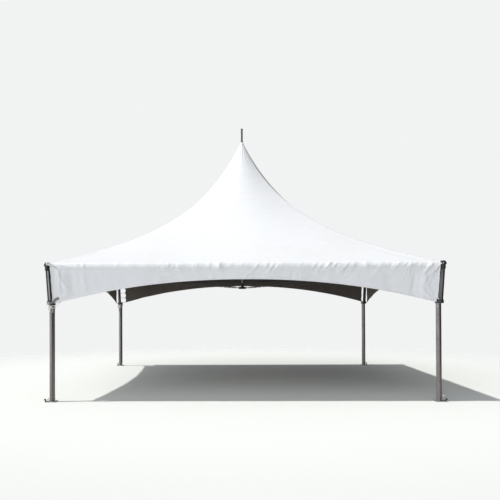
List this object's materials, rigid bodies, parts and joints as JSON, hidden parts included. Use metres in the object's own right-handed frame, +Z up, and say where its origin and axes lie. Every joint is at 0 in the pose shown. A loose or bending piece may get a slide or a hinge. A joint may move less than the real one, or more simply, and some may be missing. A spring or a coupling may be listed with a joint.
{
  "type": "marquee tent",
  "caption": "Square high-peak frame tent: diagonal legs on staked plates, eave beams, arched skirts, and a swept white roof raised by a mast standing on crossed cables.",
  "frame": {"origin": "on the ground in the middle of the tent's square plan, below the mast", "axes": "+Z up; -Y is the front that the picture shows, +X to its right"},
  "size_m": [6.2088, 6.2088, 5.046],
  "materials": {
    "white_cloth": "white coated cloth with a soft sheen, darker inside",
    "leg_extrusion": "satin anodised aluminium with shallow grooves",
    "post_extrusion": "dull aluminium, darker than the legs",
    "beam_extrusion": "mill-finish aluminium",
    "mast_tube": "mill-finish aluminium tube",
    "dark_casting": "black painted casting",
    "galvanised_plate": "galvanised steel",
    "dark_stake": "dark scaled steel",
    "steel_cable": "stranded steel with zinc fittings",
    "grey_paint": "dark grey paint"
  },
  "bodies": {
    "root": {"base_plate_front_left": "galvanised_plate", "base_plate_front_right": "galvanised_plate", "base_plate_back_right": "galvanised_plate", "base_plate_back_left": "galvanised_plate", "ground_stake_front_left": "dark_stake", "ground_stake_front_right": "dark_stake", "ground_stake_back_right": "dark_stake", "ground_stake_back_left": "dark_stake", "leg_front_left": "leg_extrusion", "leg_front_right": "leg_extrusion", "leg_back_right": "leg_extrusion", "leg_back_left": "leg_extrusion", "leg_collar_front_left": "dark_casting", "leg_collar_front_right": "dark_casting", "leg_collar_back_right": "dark_casting", "leg_collar_back_left": "dark_casting", "corner_post_front_left": "post_extrusion", "corner_post_front_right": "post_extrusion", "corner_post_back_right": "post_extrusion", "corner_post_back_left": "post_extrusion", "corner_fitting_front_left": "dark_casting", "corner_fitting_front_right": "dark_casting", "corner_fitting_back_right": "dark_casting", "corner_fitting_back_left": "dark_casting", "cross_cable_front_left": "steel_cable", "cross_cable_front_right": "steel_cable", "cross_cable_back_right": "steel_cable", "cross_cable_back_left": "steel_cable", "eave_beam_front": "beam_extrusion", "eave_beam_right": "beam_extrusion", "eave_beam_back": "beam_extrusion", "eave_beam_left": "beam_extrusion", "valance_front": "white_cloth", "valance_right": "white_cloth", "valance_back": "white_cloth", "valance_left": "white_cloth", "canopy_front": "white_cloth", "canopy_right": "white_cloth", "canopy_back": "white_cloth", "canopy_left": "white_cloth", "mast": "mast_tube", "mast_hub": "dark_casting", "mast_crown": "galvanised_plate", "mast_finial": "grey_paint"}
  },
  "joints": []
}
